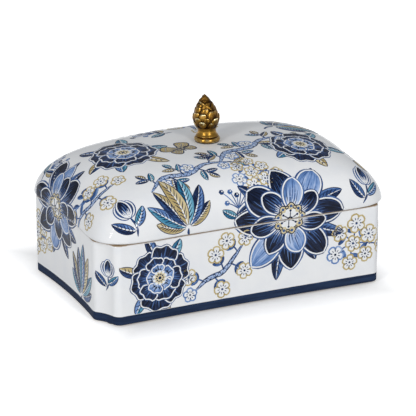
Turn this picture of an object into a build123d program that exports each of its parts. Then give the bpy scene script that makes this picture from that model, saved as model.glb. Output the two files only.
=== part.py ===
"""Rectangular lidded keepsake box in glazed ceramic, with a domed lid and a cast brass finial."""
from build123d import *
import math
import os

# Body, millimetres. X runs along the box, Y across it, Z up from the surface it stands on.
box_length = 270.0
box_depth = 174.4
body_height = 70.2
body_wall = 6.0
body_floor = 6.5
end_hollow = 3.5        # how far each short side curves in at its middle
side_hollow = 2.0       # the same on each long side
corner_along = 11.5     # reach of a hollow corner along the long side
corner_across = 21.5    # and along the short side
corner_hollow = 2.4     # depth of the hollow between its two rounded edges
arris_radius = 7.0      # the rounded edges beside each hollow corner
floor_radius = 4.0      # inside, where the floor meets the walls
mouth_radius_outer = 2.2
mouth_radius_inner = 1.6
foot_radius = 1.4
foot_width = 14.0       # flat unglazed ring that the box stands on
foot_recess = 2.5       # hollow inside that ring

# Felt pads under the foot ring
pad_radius = 5.0
pad_thickness = 1.2

# Lid
lid_overhang = 2.0      # the lid stands this far outside the body all round
lid_wall = 6.0
lid_rise = 49.7         # from the seat to the crown
lid_corner = 31.5       # plan radius of the lid's soft corners at the rim
lid_edge_radius = 2.4   # lower outer edge, rounded under to the seam
seat_band = 6.0         # thicker ring inside, above the seat
flange_drop = 8.0       # locating flange that hangs inside the mouth
flange_width = 4.0
flange_clearance = 1.3
flange_radius = 1.2

# How the dome closes in towards the crown: powers of its height, and the levels of its rings
end_power = 1.6         # long profile, a low value rounds the ends early
end_root = 6.0
side_power = 2.97       # short profile, a high value keeps the long sides upright
side_root = 3.65
corner_power = 2.4      # how late the soft corners grow into the ellipse of the crown
level_shares = (0.0, 0.25, 0.5, 0.7, 0.85, 0.94, 0.98, 0.995, 0.9995)
corner_steps = 3
side_steps = 3

# Brass finial, turned foot and neck with a cast cone of overlapping scales
finial_height = 41.6
foot_ring_radius = 11.3
foot_ring_height = 3.9
groove_radius = 9.9
groove_width = 0.7
bell_radius = 10.3      # lower edge of the flared neck
neck_radius = 7.7
neck_level = 10.2       # where the neck is narrowest, and the cone begins
neck_flare_share = 0.27         # how much of the flare is left at the share of the neck's rise below
neck_flare_level_share = 0.45
cone_radius = 10.4      # widest part of the core, under the scales
cone_level = 20.5
cone_power = 1.45       # how late the cone closes in towards the tip
tip_radius = 1.0
scale_thickness = 1.5
scale_bevel = 0.9       # how much smaller the raised face of a scale is, all round
scale_sink = 1.1        # how deep each scale is rooted in the core
stud_depth = 11.0       # threaded hole for the screw

# Fastening through the crown of the lid
screw_radius = 2.5
screw_clearance = 0.1
screw_head_radius = 4.7
screw_head_height = 3.0
screw_head_round = 1.0
screw_tip_bevel = 0.6
screw_slot_width = 1.2
screw_slot_depth = 1.4
crown_hole_radius = 3.5
washer_radius = 7.5
washer_thickness = 1.2
gasket_radius = 9.0
gasket_thickness = 1.5
seal_radius = 10.2      # thin seal between the brass and the glaze
seal_thickness = 0.6

overrun = 1.0           # how far cutting shapes pass the face they cut
level_tolerance = 0.002         # a flat face this near to a level lies on it

# Places that follow from those sizes
body_foot_z = pad_thickness
seat_z = body_foot_z + body_height
mouth_floor_z = body_foot_z + foot_recess + body_floor
crown_z = seat_z + lid_rise
finial_z = crown_z + seal_thickness
inner_crown_z = crown_z - lid_wall

os.makedirs("parts", exist_ok=True)


def write(name, shape):
    """Writes one sub-part under its own name."""
    shape.label = name
    export_step(shape, f"parts/{name}.step")
    print(name, round(shape.volume, 1))


def body_outline(inset=0.0):
    """Plan of the body or of what runs inside it: four slightly hollow sides and four hollow corners."""
    x, y = box_length / 2 - inset, box_depth / 2 - inset
    chord = math.hypot(corner_along, corner_across)
    corner_share = 1 - inset * (corner_along + corner_across - chord) / (corner_along * corner_across)
    along, across = x - corner_along * corner_share, y - corner_across * corner_share
    hollow = corner_hollow * corner_share ** 2
    middle_x = (x + along) / 2 - hollow * corner_across / chord
    middle_y = (y + across) / 2 - hollow * corner_along / chord
    edges = [ThreePointArc((-along, face * y), (0, face * (y - side_hollow)), (along, face * y))
             for face in (-1, 1)]
    edges += [ThreePointArc((end * x, -across), (end * (x - end_hollow), 0), (end * x, across))
              for end in (-1, 1)]
    edges += [ThreePointArc((end * along, face * y), (end * middle_x, face * middle_y),
                            (end * x, face * across))
              for end in (-1, 1) for face in (-1, 1)]
    outline = make_face(edges)
    return fillet(outline.vertices(), arris_radius * corner_share)


def prism(face, bottom, top):
    """Upright solid over a plan outline."""
    return extrude(Pos(0, 0, bottom) * face, top - bottom)


def round_ring(shape, level, radius, outer=True):
    """Rounds the outer or the inner edge of the flat face at a level."""
    solid = shape.solid()
    flat = [face for face in solid.faces().filter_by(Plane.XY)
            if abs(face.center().Z - level) < level_tolerance]
    face = max(flat, key=lambda one: one.outer_wire().length)
    wire = face.outer_wire() if outer else face.inner_wires()[0]
    return Part() + solid.fillet(radius, wire.edges())


def make_body():
    body = prism(body_outline(), body_foot_z, seat_z)
    body = round_ring(body, body_foot_z, foot_radius)
    cavity = prism(body_outline(body_wall), mouth_floor_z, seat_z + overrun)
    cavity = round_ring(cavity, mouth_floor_z, floor_radius)
    recess = prism(body_outline(foot_width), body_foot_z - overrun, body_foot_z + foot_recess)
    body = body - cavity - recess
    body = round_ring(body, seat_z, mouth_radius_outer)
    return round_ring(body, seat_z, mouth_radius_inner, outer=False)


def rim_quarter(half_length, half_depth):
    """A quarter of the rim outline as shares of its half sizes: half an end, a soft corner, half a side."""
    centre_x, centre_y = half_length - lid_corner, half_depth - lid_corner
    quarter = [(half_length, centre_y * step / side_steps) for step in range(side_steps)]
    for step in range(corner_steps + 1):
        angle = math.pi / 2 * step / corner_steps
        quarter.append((centre_x + lid_corner * math.cos(angle), centre_y + lid_corner * math.sin(angle)))
    quarter += [(centre_x * (1 - step / side_steps), half_depth) for step in range(1, side_steps + 1)]
    return [(x / half_length, y / half_depth) for x, y in quarter]


def dome_ring(level_share, inset, bottom, top):
    """One closed plan curve of the dome: from the rim outline it grows into the ellipse of the crown."""
    rim_x, rim_y = box_length / 2 + lid_overhang - inset, box_depth / 2 + lid_overhang - inset
    half_length = rim_x * (1 - level_share ** end_power) ** (1 / end_root)
    half_depth = rim_y * (1 - level_share ** side_power) ** (1 / side_root)
    growth_share = level_share ** corner_power
    quarter = []
    for x, y in rim_quarter(rim_x, rim_y):
        end_share = min(1, y / (1 - lid_corner / rim_y / 2)) ** 2
        side_share = min(1, x / (1 - lid_corner / rim_x / 2)) ** 2
        x *= 1 - (1 - level_share) * (1 - end_share) * end_hollow / rim_x
        y *= 1 - (1 - level_share) * (1 - side_share) * side_hollow / rim_y
        reach = 1 - growth_share + growth_share / math.hypot(x, y)
        quarter.append((x * reach * half_length, y * reach * half_depth))
    half = quarter + [(-x, y) for x, y in reversed(quarter[1:-1])]
    points = half + [(-x, -y) for x, y in half]
    level = bottom + (top - bottom) * level_share / level_shares[-1]
    return Pos(0, 0, level) * make_face(Spline(*points, periodic=True))


def dome(inset, top):
    """Solid dome from the seat up, closed by its small flat crown."""
    return loft([dome_ring(share, inset, seat_z, top) for share in level_shares])


def make_lid():
    lid = round_ring(dome(0, crown_z), seat_z, lid_edge_radius)
    flange_inset = body_wall + flange_clearance
    flange = prism(body_outline(flange_inset), seat_z - flange_drop, seat_z + overrun)
    flange = round_ring(flange, seat_z - flange_drop, flange_radius)
    hollow = split(dome(lid_wall, inner_crown_z), Plane.XY.offset(seat_z + seat_band), keep=Keep.TOP)
    mouth = prism(body_outline(flange_inset + flange_width), seat_z - flange_drop - overrun,
                  seat_z + seat_band + overrun)
    hole = Pos(0, 0, crown_z) * Cylinder(crown_hole_radius, 2 * (lid_wall + overrun))
    return lid + flange - hollow - mouth - hole


def cone_core_radius(level):
    """Radius of the core of the cone at a height above the finial's foot."""
    if level < cone_level:
        share = (level - neck_level) / (cone_level - neck_level)
        return neck_radius + (cone_radius - neck_radius) * math.sin(share * math.pi / 2)
    share = (level - cone_level) / (finial_height - cone_level)
    return tip_radius + (cone_radius - tip_radius) * (1 - share ** cone_power)


def make_scale(width, length, thickness):
    """A pointed scale lying in the XZ plane, root at the origin, raised face towards -Y."""
    def leaf(inset, depth):
        half, low, high = width / 2 - inset, inset, length - inset
        belly_z, shoulder_z = low + (high - low) * belly_share, low + (high - low) * shoulder_share
        outline = [(half * root_share, low), (half, belly_z), (half * tip_share, shoulder_z), (0, high)]
        outline += [(-x, z) for x, z in reversed(outline[:-1])]
        return Pos(0, 0, depth) * make_face(Polyline(*outline, close=True))
    solid = loft([leaf(0, -scale_sink), leaf(scale_bevel, thickness)], ruled=True)
    return Rot(90, 0, 0) * solid


# Rows of scales from the calyx to the tip: level, count, width and length as shares of the cone
row_level_shares = (0.285, 0.375, 0.475, 0.58, 0.685, 0.79)
row_count_shares = (1.0, 1.0, 1.0, 1.0, 0.8, 0.6)
row_length_shares = (0.18, 0.185, 0.19, 0.185, 0.185, 0.185)
scales_round_cone = 10
cone_lower_steps, cone_upper_steps = 4, 5       # points of the core's profile below and above its widest
scale_width_share = 1.08      # of the room that each scale has in its row
# Outline of one scale: how wide it is at its root and shoulder, and how high its belly and shoulder lie
root_share, tip_share = 0.45, 0.62
belly_share, shoulder_share = 0.4, 0.74


def spaced(start, end, steps):
    """Levels from one to another, without the first."""
    return [start + (end - start) * step / steps for step in range(1, steps + 1)]


def make_finial():
    bead = foot_ring_height / 2
    flat_radius = foot_ring_radius - bead / 2
    bell_level = foot_ring_height + groove_width
    levels = spaced(neck_level, cone_level, cone_lower_steps)
    levels += spaced(cone_level, finial_height - tip_radius, cone_upper_steps)
    side = Spline((neck_radius, neck_level), *[(cone_core_radius(level), level) for level in levels[:-1]],
                  (tip_radius, levels[-1]), tangents=[(0, 1), (-1, 1)])
    profile = [Line((0, 0), (flat_radius, 0)),
               ThreePointArc((flat_radius, 0), (foot_ring_radius, bead), (flat_radius, foot_ring_height)),
               Line((flat_radius, foot_ring_height), (groove_radius, foot_ring_height)),
               Line((groove_radius, foot_ring_height), (groove_radius, bell_level)),
               Line((groove_radius, bell_level), (bell_radius, bell_level)),
               ThreePointArc((bell_radius, bell_level),
                             (neck_radius + (bell_radius - neck_radius) * neck_flare_share,
                              bell_level + (neck_level - bell_level) * neck_flare_level_share),
                             (neck_radius, neck_level)),
               side,
               CenterArc((0, levels[-1]), tip_radius, 0, 90),
               Line((0, finial_height), (0, 0))]
    core = revolve(Plane.XZ * make_face(profile), Axis.Z)
    scales = []
    rows = zip(row_level_shares, row_count_shares, row_length_shares)
    for row, (level_share, count_share, length_share) in enumerate(rows):
        count = round(scales_round_cone * count_share)
        level = finial_height * level_share
        length = finial_height * length_share
        lean = math.atan2(cone_core_radius(level + length) - cone_core_radius(level), length)
        widest = max(cone_core_radius(level), cone_core_radius(level + length / 2))
        scale = make_scale(2 * math.pi * widest / count * scale_width_share, length, scale_thickness)
        for step in range(count):
            turn = Rot(0, 0, 360 / count * (step + row % 2 / 2))
            scales.append(turn * Pos(0, -cone_core_radius(level), level)
                          * Rot(math.degrees(lean), 0, 0) * scale)
    finial = core + scales
    hole = Pos(0, 0, -overrun) * Cylinder(screw_radius + screw_clearance, stud_depth + overrun,
                                          align=(Align.CENTER, Align.CENTER, Align.MIN))
    return Pos(0, 0, finial_z) * (finial - hole)


def ring(outer, inner, thickness, level):
    """Flat washer with its lower face at a level."""
    return extrude(Pos(0, 0, level) * (Circle(outer) - Circle(inner)), thickness)


def make_screw():
    """Slotted pan-head screw, up through the crown into the finial."""
    head_z = inner_crown_z - gasket_thickness - washer_thickness
    length = finial_z + stud_depth - overrun - head_z
    head = Pos(0, 0, head_z - screw_head_height) * Cylinder(
        screw_head_radius, screw_head_height, align=(Align.CENTER, Align.CENTER, Align.MIN))
    head = fillet(head.edges().sort_by(Axis.Z)[0], screw_head_round)
    slot = Pos(0, 0, head_z - screw_head_height) * Box(
        2 * screw_head_radius, screw_slot_width, 2 * screw_slot_depth)
    shank = Pos(0, 0, head_z) * Cylinder(screw_radius, length, align=(Align.CENTER, Align.CENTER, Align.MIN))
    shank = chamfer(shank.edges().sort_by(Axis.Z)[-1], screw_tip_bevel)
    return head - slot + shank


def make_pads():
    """Four felt discs on the foot ring, one near each corner."""
    x, y = box_length / 2 - foot_width, box_depth / 2 - foot_width
    disc = Cylinder(pad_radius, pad_thickness, align=(Align.CENTER, Align.CENTER, Align.MIN))
    return Compound(children=[Pos(side * x, face * y, 0) * disc for side in (-1, 1) for face in (-1, 1)])


write("base", make_body())
write("lid", make_lid())
write("finial", make_finial())
write("finial_seal", ring(seal_radius, crown_hole_radius, seal_thickness, crown_z))
write("inner_gasket", ring(gasket_radius, crown_hole_radius, gasket_thickness,
                           inner_crown_z - gasket_thickness))
write("steel_washer", ring(washer_radius, screw_radius + screw_clearance, washer_thickness,
                           inner_crown_z - gasket_thickness - washer_thickness))
write("fixing_screw", make_screw())
write("felt_pads", make_pads())
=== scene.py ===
import math

import bpy
import numpy as np
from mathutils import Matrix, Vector
from mathutils.bvhtree import BVHTree
from mathutils.geometry import barycentric_transform


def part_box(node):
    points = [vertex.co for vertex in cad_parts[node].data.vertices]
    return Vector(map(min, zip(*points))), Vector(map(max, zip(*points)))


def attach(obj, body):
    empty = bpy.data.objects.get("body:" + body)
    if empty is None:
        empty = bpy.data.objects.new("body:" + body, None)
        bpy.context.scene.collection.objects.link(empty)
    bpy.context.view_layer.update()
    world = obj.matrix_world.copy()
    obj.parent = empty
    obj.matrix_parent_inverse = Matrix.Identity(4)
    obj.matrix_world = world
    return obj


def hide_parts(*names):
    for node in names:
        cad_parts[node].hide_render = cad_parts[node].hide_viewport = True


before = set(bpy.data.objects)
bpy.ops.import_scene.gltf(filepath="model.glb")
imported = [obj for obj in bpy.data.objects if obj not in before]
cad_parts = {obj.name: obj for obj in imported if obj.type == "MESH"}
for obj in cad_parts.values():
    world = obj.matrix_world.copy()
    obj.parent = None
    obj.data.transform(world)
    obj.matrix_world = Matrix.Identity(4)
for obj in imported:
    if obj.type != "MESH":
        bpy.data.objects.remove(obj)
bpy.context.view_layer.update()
print("frame loaded:", ", ".join(sorted(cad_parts)))

# All shapes are worked out in millimetres. Flat drawings and plans are complex numbers, x + y * 1j.
mm = 0.001
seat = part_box("base")[1].z / mm          # where the lid rests
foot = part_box("base")[0].z / mm
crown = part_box("finial_seal")[0].z / mm
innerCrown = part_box("inner_gasket")[1].z / mm


# Shader maths

class Wire:
    # a socket whose maths is written as Python expressions
    def __init__(self, tree, socket):
        self.tree, self.socket = tree, socket

    def __add__(self, other):
        return self.tree.math("ADD", self, other)

    def __sub__(self, other):
        return self.tree.math("SUBTRACT", self, other)

    def __rsub__(self, other):
        return self.tree.math("SUBTRACT", other, self)

    def __mul__(self, other):
        return self.tree.math("MULTIPLY", self, other)

    __radd__ = __add__
    __rmul__ = __mul__

    def step(self, low, high):
        # 0 below low, 1 above high, smooth between
        return self.tree.node("MapRange", {"interpolation_type": "SMOOTHSTEP"},
                              {"Value": self, "From Min": low, "From Max": high})


class Finish:
    # one material and its nodes
    def __init__(self, name):
        self.material = bpy.data.materials.new(name)
        self.material.use_nodes = True
        self.nodes = self.material.node_tree.nodes
        self.links = self.material.node_tree.links
        self.nodes.clear()

    def node(self, kind, settings=None, inputs=None, output=0):
        made = self.nodes.new("ShaderNode" + kind)
        for name, value in (settings or {}).items():
            if name == "stops":
                ramp = made.color_ramp
                while len(ramp.elements) < len(value):
                    ramp.elements.new(0.5)
                for element, (place, shade) in zip(ramp.elements, value):
                    element.position, element.color = place, colour(shade)
            else:
                setattr(made, name, value)
        for name, value in (inputs or {}).items():
            if isinstance(value, Wire):
                self.links.new(value.socket, made.inputs[name])
            else:
                made.inputs[name].default_value = value
        return Wire(self, made.outputs[output]) if made.outputs else None

    def math(self, operation, *values):
        return self.node("Math", {"operation": operation}, dict(enumerate(values)))

    def mix(self, factor, one, other):
        one, other = [colour(shade) if isinstance(shade, str) else shade for shade in (one, other)]
        return self.node("Mix", {"data_type": "RGBA"}, {0: factor, 6: one, 7: other}, 2)

    def scaled(self, vector, amounts):
        return self.node("VectorMath", {"operation": "MULTIPLY"}, {0: vector, 1: amounts})

    def noise(self, vector, scale, detail=2.0):
        return self.node("TexNoise", None, {"Vector": vector, "Scale": scale, "Detail": detail})

    def place(self):
        return self.node("TexCoord", output=3)

    def height(self):
        return self.node("SeparateXYZ", None, {0: self.place()}, output=2)

    def outside(self, halfLength, halfDepth):
        # how far a place lies outside an upright block round the middle, in metres
        past = [self.math("ABSOLUTE", self.node("SeparateXYZ", None, {0: self.place()}, output=axis)) - half
                for axis, half in enumerate((halfLength, halfDepth))]
        return self.math("MAXIMUM", *past)

    def bump(self, height, distance, strength=1.0):
        return self.node("Bump", None, {"Height": height, "Distance": distance, "Strength": strength})

    def finish(self, **sockets):
        shader = self.node("BsdfPrincipled", None,
                           {name.replace("_", " "): value for name, value in sockets.items()})
        self.node("OutputMaterial", None, {"Surface": shader})
        return self.material


def colour(code):
    # a colour written as #rrggbb, as the linear values that Blender takes
    parts = [int(code[place:place + 2], 16) / 255 for place in (1, 3, 5)]
    return [(part / 12.92) if part < 0.04045 else ((part + 0.055) / 1.055) ** 2.4 for part in parts] + [1]


# Plans of the box

plan = {
    "length": 270.0, "depth": 174.4,
    "endHollow": 3.5, "sideHollow": 2.0,
    "cornerAlong": 11.5, "cornerAcross": 21.5, "cornerHollow": 2.4,
    "arris": 7.0,
}
quarterCounts = {"end": 22, "arris": 14, "cove": 16, "side": 24}     # points along a quarter of a plan


def arc(centre, start, end, count):
    turn = np.angle((end - centre) / (start - centre))
    return centre + (start - centre) * np.exp(1j * turn * np.arange(count) / count)


def mirrored(quarter):
    # the whole ring from the quarter that runs from the +X axis to the +Y axis
    back = quarter[::-1]
    return np.concatenate([quarter[:-1], -back.conj()[:-1], -quarter[:-1], back.conj()[:-1]])


def tangentCentre(one, oneRadius, other, otherRadius, radius):
    # centre of the rounding that touches two hollow sides from inside the box
    apart = abs(other - one)
    near, far = oneRadius + radius, otherRadius + radius
    along = (near ** 2 - far ** 2 + apart ** 2) / (2 * apart)
    across = 1j * math.sqrt(near ** 2 - along ** 2)
    toward = (other - one) / apart
    return min((one + toward * (along + across), one + toward * (along - across)), key=abs)


def boxRing(inset=0.0):
    # plan of the body or of what runs inside it: hollow sides, hollow corners, rounded edges between
    x, y = plan["length"] / 2 - inset, plan["depth"] / 2 - inset
    reach, rise = plan["cornerAlong"], plan["cornerAcross"]
    chord = math.hypot(reach, rise)
    share = 1 - inset * (reach + rise - chord) / (reach * rise)
    along, across = x - reach * share, y - rise * share
    hollow = plan["cornerHollow"] * share ** 2
    endRadius = (across ** 2 + plan["endHollow"] ** 2) / (2 * plan["endHollow"])
    sideRadius = (along ** 2 + plan["sideHollow"] ** 2) / (2 * plan["sideHollow"])
    coveRadius = ((chord * share / 2) ** 2 + hollow ** 2) / (2 * hollow)
    outward = (rise + reach * 1j) / chord
    end = x - plan["endHollow"] + endRadius
    side = (y - plan["sideHollow"] + sideRadius) * 1j
    cove = complex(x + along, y + across) / 2 + outward * (coveRadius - hollow)
    radius = plan["arris"] * share
    first = tangentCentre(end, endRadius, cove, coveRadius, radius)
    last = tangentCentre(side, sideRadius, cove, coveRadius, radius)

    def touch(centre, other):
        return centre + (other - centre) / abs(other - centre) * radius

    count = quarterCounts
    return mirrored(np.concatenate([
        arc(end, complex(x - plan["endHollow"]), touch(first, end), count["end"]),
        arc(first, touch(first, end), touch(first, cove), count["arris"]),
        arc(cove, touch(first, cove), touch(last, cove), count["cove"]),
        arc(last, touch(last, cove), touch(last, side), count["arris"]),
        arc(side, touch(last, side), complex(0, y - plan["sideHollow"]), count["side"]),
        [complex(0, y - plan["sideHollow"])]]))


dome = {
    "overhang": 2.0, "corner": 31.5,
    "endPower": 1.6, "endRoot": 6.0, "sidePower": 2.97, "sideRoot": 3.65, "cornerPower": 2.4,
    "topShare": 0.9995,
    "steps": 3,              # points along each part of the rim's quarter
    "perSpan": 10,           # steps between two points, as many in all as a plan of the body has
}


def closedSpline(points, perSpan):
    # smooth closed curve through points, by the lengths of their chords
    after = np.roll(points, -1)
    gap = abs(after - points)
    before = np.roll(gap, 1)
    slope = (after - points) / gap
    index = np.arange(len(points))
    system = np.diag(2 * (gap + before))
    system[index, (index + 1) % len(points)] = gap
    system[index, index - 1] = before
    bend = np.linalg.solve(system, 6 * (slope - np.roll(slope, 1)))
    b = np.arange(perSpan)[None, :] / perSpan
    a = 1 - b
    curve = a * points[:, None] + b * after[:, None] + gap[:, None] ** 2 / 6 * (
        (a ** 3 - a) * bend[:, None] + (b ** 3 - b) * np.roll(bend, -1)[:, None])
    return curve.ravel()


def domeRing(share, inset=0.0):
    # plan of the lid at a share of its rise: the rim outline grows into the ellipse of the crown
    rimX = plan["length"] / 2 + dome["overhang"] - inset
    rimY = plan["depth"] / 2 + dome["overhang"] - inset
    halfLength = rimX * (1 - share ** dome["endPower"]) ** (1 / dome["endRoot"])
    halfDepth = rimY * (1 - share ** dome["sidePower"]) ** (1 / dome["sideRoot"])
    growth = share ** dome["cornerPower"]
    corner, steps = dome["corner"], dome["steps"]
    part = np.arange(steps) / steps
    turn = np.exp(0.5j * math.pi * np.arange(steps + 1) / steps)
    x = np.concatenate([np.full(steps, rimX), rimX - corner + corner * turn.real,
                        (rimX - corner) * (1 - part - 1 / steps)]) / rimX
    y = np.concatenate([(rimY - corner) * part, rimY - corner + corner * turn.imag,
                        np.full(steps, rimY)]) / rimY
    endShare = np.minimum(1, y / (1 - corner / rimY / 2)) ** 2
    sideShare = np.minimum(1, x / (1 - corner / rimX / 2)) ** 2
    x = x * (1 - (1 - share) * (1 - endShare) * plan["endHollow"] / rimX)
    y = y * (1 - (1 - share) * (1 - sideShare) * plan["sideHollow"] / rimY)
    reach = 1 - growth + growth / np.hypot(x, y)
    points = mirrored(x * reach * halfLength + y * reach * halfDepth * 1j)
    return closedSpline(points, dome["perSpan"])


def domeShare(level, top):
    # share of the lid's rise at a height, for the outer or the inner dome
    return dome["topShare"] * (level - seat) / (top - seat)


def rounded(radius, steps=7):
    # a quarter round, as pairs of inset and rise from the straight wall to the flat
    turns = np.linspace(0, math.pi / 2, steps + 1)
    return [(radius * (1 - math.cos(turn)), radius * math.sin(turn)) for turn in turns]


def solid(rings):
    return np.array([np.column_stack([ring.real, ring.imag, np.full(len(ring), level)])
                     for ring, level in rings])


def makeMesh(name, points, faces, material, body):
    mesh = bpy.data.meshes.new(name)
    mesh.from_pydata((np.asarray(points) * mm).tolist(), [], faces)
    mesh.validate()
    mesh.materials.append(material)
    piece = bpy.data.objects.new(name, mesh)
    bpy.context.scene.collection.objects.link(piece)
    mesh.shade_smooth()
    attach(piece, body)
    return piece


def ringFaces(rings, around, closed):
    # quads between rings of points, the last ring joined to the first if closed
    faces = []
    for row in range(rings if closed else rings - 1):
        here, there = row * around, (row + 1) % rings * around
        for column in range(around):
            after = (column + 1) % around
            faces.append((here + column, here + after, there + after, there + column))
    return faces


def cappedFaces(rings, around):
    # quads between open rings, and a fan at each end to the two points that follow them
    faces, last = ringFaces(rings, around, False), (rings - 1) * around
    for column in range(around):
        after = (column + 1) % around
        faces += [(after, column, last + around), (last + column, last + after, last + around + 1)]
    return faces


def roundingRings(inset, level, radius, into, up, steps=7):
    # rings of a rounding from a straight wall to a flat; into and up are 1 or -1, the way each leads
    return [(boxRing(inset + into * across), level + up * rise) for across, rise in rounded(radius, steps)]


# Glaze and the unglazed rim

glaze = {
    "white": "#eff0f1", "mottle": "#eaecef", "mottling": (60.0, 4.0), "mottleSpan": (0.35, 0.75),
    "roughness": 0.5, "coat": 0.6, "coatRoughness": 0.035, "coatIor": 1.3,
    "waves": (38.0, 2.0), "waveDepth": 0.2, "waveStrength": 0.35,     # soft waves of the glaze, depth in mm
    # bare clay at the seam and under the foot, in mm
    "biscuit": "#a08a70", "rimLine": 0.8, "rimSpan": (0.5, 1.6), "bare": (0.15, 0.45),
    "ragged": (420.0, 2.0), "raggedBy": 0.5,
    # the navy band: heights in mm, and how much less gloss it has than the white
    "band": "#222e46", "bandWave": "#2b3b58", "bandTop": 7.9, "bandEdge": 0.12, "bandDull": 0.75,
    "bandInset": 1.5, "bandFade": 0.5, "wobble": (90.0, 1.0), "wobbleBy": 0.35,
    "streaks": (30, 30, 500), "streakSpan": (0.35, 0.7),
}


def glazed(f, shade, gloss=1.0):
    # the clear glaze over a colour
    waves = f.bump(f.noise(f.place(), *glaze["waves"]), glaze["waveDepth"] * mm, glaze["waveStrength"])
    return f.finish(Base_Color=shade, Roughness=glaze["roughness"], Specular_IOR_Level=0.0,
                    Coat_Weight=glaze["coat"] * gloss, Coat_Roughness=glaze["coatRoughness"],
                    Coat_IOR=glaze["coatIor"], Normal=waves)


def makeGlaze(name, banded):
    f, g, gloss = Finish(name), glaze, 1.0
    place, height = f.place(), f.height()
    shade = f.mix(f.noise(place, *g["mottling"]).step(*g["mottleSpan"]), g["white"], g["mottle"])
    ragged = (f.noise(place, *g["ragged"]) - 0.5) * (g["raggedBy"] * mm)
    toSeam = f.math("ABSOLUTE", height - seat * mm + ragged)
    rim = 1 - toSeam.step(*[g["rimLine"] * mm * share for share in g["rimSpan"]])
    shade = f.mix(rim, shade, g["biscuit"])
    if banded:
        wobble = (f.noise(place, *g["wobble"]) - 0.5) * (g["wobbleBy"] * mm)
        top, edge = (foot + g["bandTop"]) * mm, g["bandEdge"] * mm
        band = 1 - (height + wobble).step(top - edge, top + edge)
        # the band stays outside: the hollow within the foot ring is white
        inset = base["footWidth"] - g["bandInset"]
        past = f.outside((plan["length"] / 2 - inset) * mm, (plan["depth"] / 2 - inset) * mm)
        band = band * past.step(0, g["bandFade"] * mm)
        streaks = f.noise(f.scaled(place, g["streaks"]), 1.0, 3.0)
        shade = f.mix(band, shade, f.mix(streaks.step(*g["streakSpan"]), g["band"], g["bandWave"]))
        bare = 1 - height.step(*[(foot + level) * mm for level in g["bare"]])
        shade = f.mix(bare, shade, g["biscuit"])
        gloss = 1 - band * g["bandDull"]
    return glazed(f, shade, gloss)


# The base

base = {
    "wall": 6.0, "insideFloor": 10.2, "floorRound": 4.0, "lipOuter": 2.2, "lipInner": 1.6,
    "footRound": 1.4, "footWidth": 14.0, "footRecess": 2.5, "softEdge": 0.5,
    "hold": 0.6,                       # distance of the rings that keep a flat face flat beside its rounding
    "shrinks": (0.15, 0.4, 0.65, 0.85),
}


def makeBase():
    b, hold = base, base["hold"]
    wall, width, soft, lip = b["wall"], b["footWidth"], b["softEdge"], b["lipInner"]
    recess, floor, corner = foot + b["footRecess"], b["insideFloor"], b["floorRound"]
    rings = [(boxRing(width) * share, recess) for share in b["shrinks"]]
    rings += [(boxRing(width + hold), recess), (boxRing(width), recess)]
    rings += roundingRings(width, foot + soft, soft, -1, -1, 3)
    rings += [(boxRing(b["footRound"] + hold), foot)]
    rings += roundingRings(0, foot + b["footRound"], b["footRound"], 1, -1)[::-1]
    rings += [(boxRing(), foot + b["footRound"] + hold), (boxRing(), seat - b["lipOuter"] - hold)]
    rings += roundingRings(0, seat - b["lipOuter"], b["lipOuter"], 1, 1)
    rings += roundingRings(wall, seat - lip, lip, -1, 1)[::-1]
    rings += [(boxRing(wall), seat - lip - hold), (boxRing(wall), floor + corner + hold)]
    rings += roundingRings(wall, floor + corner, corner, 1, -1)
    rings += [(boxRing(wall + corner + hold), floor)]
    rings += [(boxRing(wall + corner) * share, floor) for share in b["shrinks"][::-1]]
    points = solid(rings)
    faces = cappedFaces(*points.shape[:2])
    points = np.vstack([points.reshape(-1, 3), [0, 0, recess], [0, 0, floor]])
    piece = makeMesh("base_shell", points, faces, makeGlaze("glaze_with_foot_band", True), "base")
    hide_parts("base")
    return piece


# The lid

lid = {
    "wall": 6.0, "edgeRound": 2.4, "seatBand": 6.0, "flangeDrop": 8.0, "flangeWidth": 4.0,
    "flangeClearance": 1.3, "flangeRound": 1.2, "softEdge": 0.6, "hole": 3.5,
    "domeSteps": 54, "domeEase": 3.2, "crownSteps": 9,
}


def domeShares(low, high, steps):
    # levels that crowd towards the crown, where the dome flattens
    even = np.linspace(0, 1, steps + 1)
    eased = 1 - (1 - even * (1 - (1 - high) ** (1 / lid["domeEase"]))) ** lid["domeEase"]
    return [low] + [share for share in eased if share > low + 0.012]


def domeRings(inset, top, low, steps):
    shares = domeShares(domeShare(low, top), dome["topShare"], steps)
    rings = [(domeRing(share, inset), seat + (top - seat) * share / dome["topShare"]) for share in shares]
    turns = np.exp(2j * math.pi * np.arange(len(rings[0][0])) / len(rings[0][0]))
    edge = rings[-1][0]
    for step in range(1, lid["crownSteps"] + 1):
        share = step / lid["crownSteps"]
        rings.append((edge * (1 - share) + turns * lid["hole"] * share, top))
    return rings


def makeLid():
    d, hold = lid, base["hold"]
    flange = base["wall"] + d["flangeClearance"]
    mouth = flange + d["flangeWidth"]
    bottom, ledge, soft = seat - d["flangeDrop"], seat + d["seatBand"], d["softEdge"]
    edge = seat + d["edgeRound"]
    rings = [(domeRing(domeShare(edge - rise, crown), inset), edge - rise)
             for inset, rise in rounded(d["edgeRound"])[:0:-1]]
    rings += domeRings(0, crown, edge, d["domeSteps"])
    rings += domeRings(d["wall"], innerCrown, ledge, d["domeSteps"])[::-1]
    rings += [(boxRing(mouth - soft), ledge), (boxRing(mouth), ledge - soft)]
    rings += roundingRings(mouth, bottom + soft, soft, -1, -1, 3)
    bottom += d["flangeRound"]
    rings += roundingRings(flange, bottom, d["flangeRound"], 1, -1)[::-1]
    rings += [(boxRing(flange), bottom + hold), (boxRing(flange), seat)]
    points = solid(rings)
    piece = makeMesh("lid_shell", points.reshape(-1, 3), ringFaces(*points.shape[:2], True),
                     makeGlaze("glaze", False), "lid")
    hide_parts("lid")
    return piece


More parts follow.
